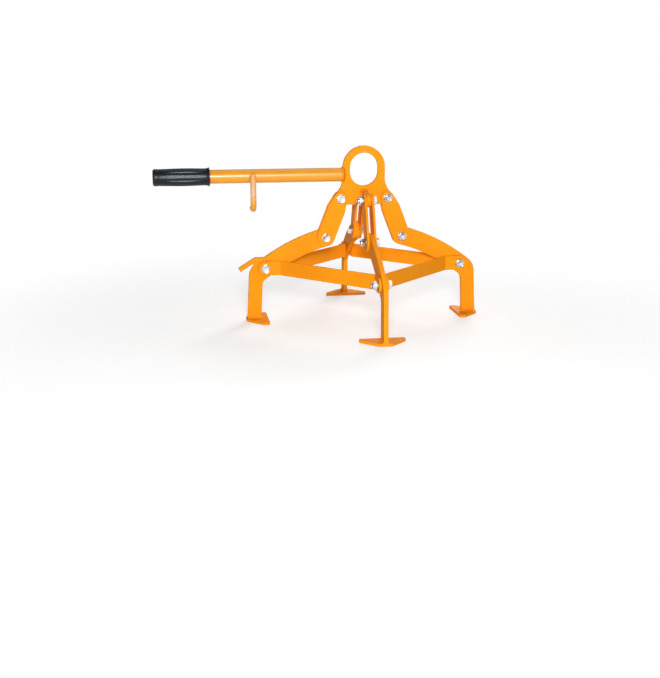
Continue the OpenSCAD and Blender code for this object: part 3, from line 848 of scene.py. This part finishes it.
# Pale band up the hook's rod: worn paint with a painted highlight
HOOK_CHALK_AND_HIGHLIGHT = (ORANGE_CHALK_AND_HIGHLIGHT, "Z", HOOK_LOW.z + 22 * MM, HOOK_LOW.z + 42 * MM, HOOK_HIGH.z + 16 * MM, 0.75)
HOOK_PAINT = powder_coat(
    "orange_rubbed_hook", GLOSSY, GLOSSY_SHINE, HOOK_RUB, HOOK_CHALK_AND_HIGHLIGHT, TUBE_ORANGE, TUBE_DEEP)
ZINC_PLATE = zinc_plate("bright_zinc", ZINC, ZINC_DULL, ZINC_ROUGH)
WASHER_ZINC = zinc_plate("yellow_zinc", WASHER_PALE, WASHER_DARK, WASHER_ROUGH)
VINYL = soft_grip_vinyl("black_soft_vinyl")
NYLON_RING = nylon("lock_nut_nylon")

# Finish of the nodes that are neither fasteners nor plain painted plates
OWN_FINISH = {
    "eye_plate": (EYE_PAINT, PLATE_EDGE),
    "handle_tube": (TUBE_PAINT, None),
    "handle_grip": (VINYL, None),
    "latch_hook": (HOOK_PAINT, None),
}


def finish_of(node):
    """Material of a CAD node, and the width of its softened edges if it has any."""
    if node.endswith(("_bolt", "_bolts", "_nut", "_nuts")):
        return ZINC_PLATE, None
    if node.endswith("_washers"):
        return WASHER_ZINC, WASHER_EDGE
    return OWN_FINISH.get(node, (PAINT, PLATE_EDGE))


def dress_nodes():
    """Gives each CAD node its finish."""
    for node, thing in NODES.items():
        material, width = finish_of(node)
        for entry in thing.material_slots:
            entry.material = material
        if width:
            soften(thing, width)


def add_fasteners():
    """Bolts and lock nuts of the head, the frame and the four links."""
    for body, joint in (("head", "_link_swing"), ("frame", "_arm_swing")):
        nodes = [body + kind for kind in ("_bolts", "_nuts", "_washers")]
        pivots = [(station, joint_place(station + joint)) for station in STATIONS]
        fasteners(nodes, body, pivots, ZINC_PLATE, NYLON_RING)
    for station in STATIONS:
        nodes = [station + kind for kind in ("_arm_bolt", "_arm_nut", "_arm_washers")]
        low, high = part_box(nodes[0])
        fasteners(nodes, station + "_link", [(station, (low + high) / 2)], ZINC_PLATE, NYLON_RING)


def add_welds():
    """Welds of the head's lugs, tube and hook, and of the four feet."""
    lug_weld("front_lug", -1, WELD_PAINT)
    lug_weld("rear_lug", 1, WELD_PAINT)
    tube_weld(WELD_PAINT)
    hook_weld(WELD_PAINT)
    for station in STATIONS:
        foot_weld(station, PAINT)


dress_nodes()
add_fasteners()
grip(VINYL)
add_welds()

# Stage: pale floor, white surroundings, soft light from the camera's side
FLOOR_HALF = 12.0
FLOOR_LIFT = 0.41
SHADOW_REACH = 0.32
WHITE_FROM = 1.05
AMBIENT = 0.06
CEILING = 0.12
CEILING_FROM, CEILING_FULL = 0.2, 0.7

# Lamps: place, size and power
LAMPS = {
    "key": ((-0.36, -2.23, 0.42), 0.5, 48.0),
    "top": ((0.2, 0.6, 1.7), 1.6, 9.0),
    "rear": ((1.1, 2.0, 0.9), 1.2, 32.0),
}

# Camera: where it stands, how it is turned in degrees, and its lens for a 36 mm sensor along the long side
CAMERA_PLACE = (-0.4416, -2.3200, 0.2147)
CAMERA_PITCH = -15.17
CAMERA_YAW = 8.97
CAMERA_LENS = 56.285


def shown_rays(nodes):
    """1 for rays that show the surroundings: seen directly, mirrored or through glass."""
    path = nodes.add("LightPath")
    total = path.outputs["Is Camera Ray"]
    for name in ("Is Glossy Ray", "Is Transmission Ray"):
        total = nodes.math("MAXIMUM", total, path.outputs[name])
    return total


def floor():
    """Large pale floor that keeps the shadow near the part and is plain white farther out."""
    height = CAD_BOX[0].z
    mesh = bpy.data.meshes.new("floor")
    corners = [(-1, -1), (1, -1), (1, 1), (-1, 1)]
    mesh.from_pydata([(x * FLOOR_HALF, y * FLOOR_HALF, height) for x, y in corners], [], [[0, 1, 2, 3]])
    made = bpy.data.objects.new("floor", mesh)
    bpy.context.scene.collection.objects.link(made)
    material = bpy.data.materials.new("pale_floor")
    material.use_nodes = True
    mesh.materials.append(material)
    material.node_tree.nodes.clear()
    nodes = Nodes(material.node_tree)
    shown = shown_rays(nodes)
    gap = nodes.distance(nodes.add("TexCoord").outputs["Object"], (0, 0, height))
    far = nodes.math("MULTIPLY", shown, nodes.remap(gap, SHADOW_REACH, WHITE_FROM, smooth=True))
    matte = nodes.add("BsdfDiffuse", values={"Color": (*FLOOR_PALE, 1)})
    lift = nodes.add("Emission", {"Strength": nodes.math("MULTIPLY", shown, FLOOR_LIFT)})
    near_part = nodes.add("AddShader", {0: matte.outputs[0], 1: lift.outputs[0]})
    white = nodes.add("Emission")
    both = nodes.add("MixShader", {0: far, 1: near_part.outputs[0], 2: white.outputs[0]})
    nodes.add("OutputMaterial", {"Surface": both.outputs[0]})


def surroundings():
    """World that is white to look at, darker overhead, and gives a weak even light."""
    world = bpy.data.worlds.new("studio")
    bpy.context.scene.world = world
    world.use_nodes = True
    world.node_tree.nodes.clear()
    nodes = Nodes(world.node_tree)
    white = {"Color": (1, 1, 1, 1)}
    up = nodes.add("SeparateXYZ", {0: nodes.add("TexCoord").outputs["Generated"]}).outputs["Z"]
    strength = nodes.remap(up, CEILING_FROM, CEILING_FULL, 1.0, CEILING)
    seen = nodes.add("Background", {"Strength": strength}, white)
    light = nodes.add("Background", values={**white, "Strength": AMBIENT})
    both = nodes.add("MixShader", {0: shown_rays(nodes), 1: light.outputs[0], 2: seen.outputs[0]})
    nodes.add("OutputWorld", {"Surface": both.outputs[0]})


def lamps():
    """Round area lamps, turned to the middle of the part."""
    middle = (CAD_BOX[0] + CAD_BOX[1]) / 2
    for name, (place, size, power) in LAMPS.items():
        data = bpy.data.lights.new(name, "AREA")
        data.shape = "DISK"
        data.size = size
        data.energy = power
        lamp = bpy.data.objects.new(name, data)
        lamp.location = place
        lamp.rotation_euler = (middle - Vector(place)).to_track_quat("-Z", "Y").to_euler()
        bpy.context.scene.collection.objects.link(lamp)


def camera():
    data = bpy.data.cameras.new("camera")
    data.lens = CAMERA_LENS
    made = bpy.data.objects.new("camera", data)
    made.location = CAMERA_PLACE
    made.rotation_euler = (math.radians(90 + CAMERA_PITCH), 0, math.radians(-CAMERA_YAW))
    bpy.context.scene.collection.objects.link(made)
    bpy.context.scene.camera = made


floor()
surroundings()
lamps()
camera()
bpy.context.scene.view_settings.view_transform = "Standard"
